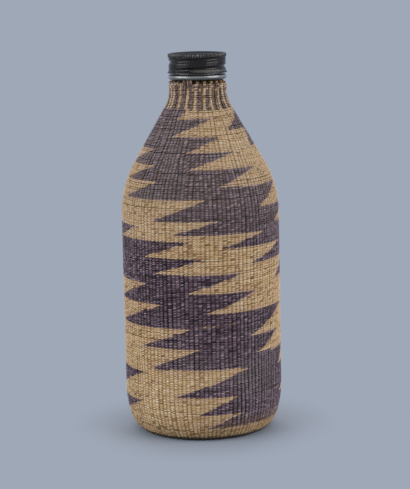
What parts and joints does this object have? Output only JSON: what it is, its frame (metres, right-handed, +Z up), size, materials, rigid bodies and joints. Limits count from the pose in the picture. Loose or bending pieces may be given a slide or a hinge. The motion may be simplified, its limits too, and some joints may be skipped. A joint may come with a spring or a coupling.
{
  "type": "basket-covered bottle",
  "caption": "Round glass bottle wholly covered in twined basketry with dark saw-toothed spiral bands on tan, closed by a dark metal screw cap on a short threaded neck.",
  "frame": {"origin": "centre of the flat base, on the surface that the bottle stands on", "axes": "+Z up along the bottle's axis to the cap; -Y towards the front of the picture"},
  "size_m": [0.0776, 0.078, 0.1873],
  "materials": {
    "bottle_glass": "clear grey-green glass, smooth",
    "cap_lacquer": "dark lacquered tin plate, worn at the lip",
    "liner_board": "pressed board disc",
    "tan_straw": "twined tan straw, dry and slightly glossy",
    "dark_straw": "twined purple-brown dyed straw",
    "neck_straw": "twined straw in light and dark stripes",
    "warp_stick": "split stick, dry"
  },
  "bodies": {
    "bottle": {"glass_bottle": "bottle_glass", "base_start": "tan_straw", "base_weft": "tan_straw", "tan_weft": "tan_straw", "dark_band_1": "dark_straw", "dark_band_2": "dark_straw", "neck_weft": "neck_straw", "rim_row": "dark_straw", "warp_01": "warp_stick", "warp_02": "warp_stick", "warp_03": "warp_stick", "warp_04": "warp_stick", "warp_05": "warp_stick", "warp_06": "warp_stick", "warp_07": "warp_stick", "warp_08": "warp_stick", "warp_09": "warp_stick", "warp_10": "warp_stick", "warp_11": "warp_stick", "warp_12": "warp_stick", "warp_13": "warp_stick", "warp_14": "warp_stick", "warp_15": "warp_stick", "warp_16": "warp_stick", "warp_17": "warp_stick", "warp_18": "warp_stick", "warp_19": "warp_stick", "warp_20": "warp_stick", "warp_21": "warp_stick", "warp_22": "warp_stick", "warp_23": "warp_stick"},
    "liner": {"cap_liner": "liner_board"},
    "cap": {"screw_cap": "cap_lacquer"}
  },
  "joints": [
    {"name": "liner_lift", "type": "slide", "parent": "bottle", "child": "liner", "axis": [0, 0, 1], "range_m": [0, 0.0128]},
    {"name": "cap_turn", "type": "hinge", "parent": "liner", "child": "cap", "pos_m": [0, 0, 0.187], "axis": [0, 0, 1], "range_deg": [0, 1080]}
  ],
  "couplings": [
    {"joint": "liner_lift", "follows": "cap_turn", "m_per_rad": 0.0006737}
  ]
}
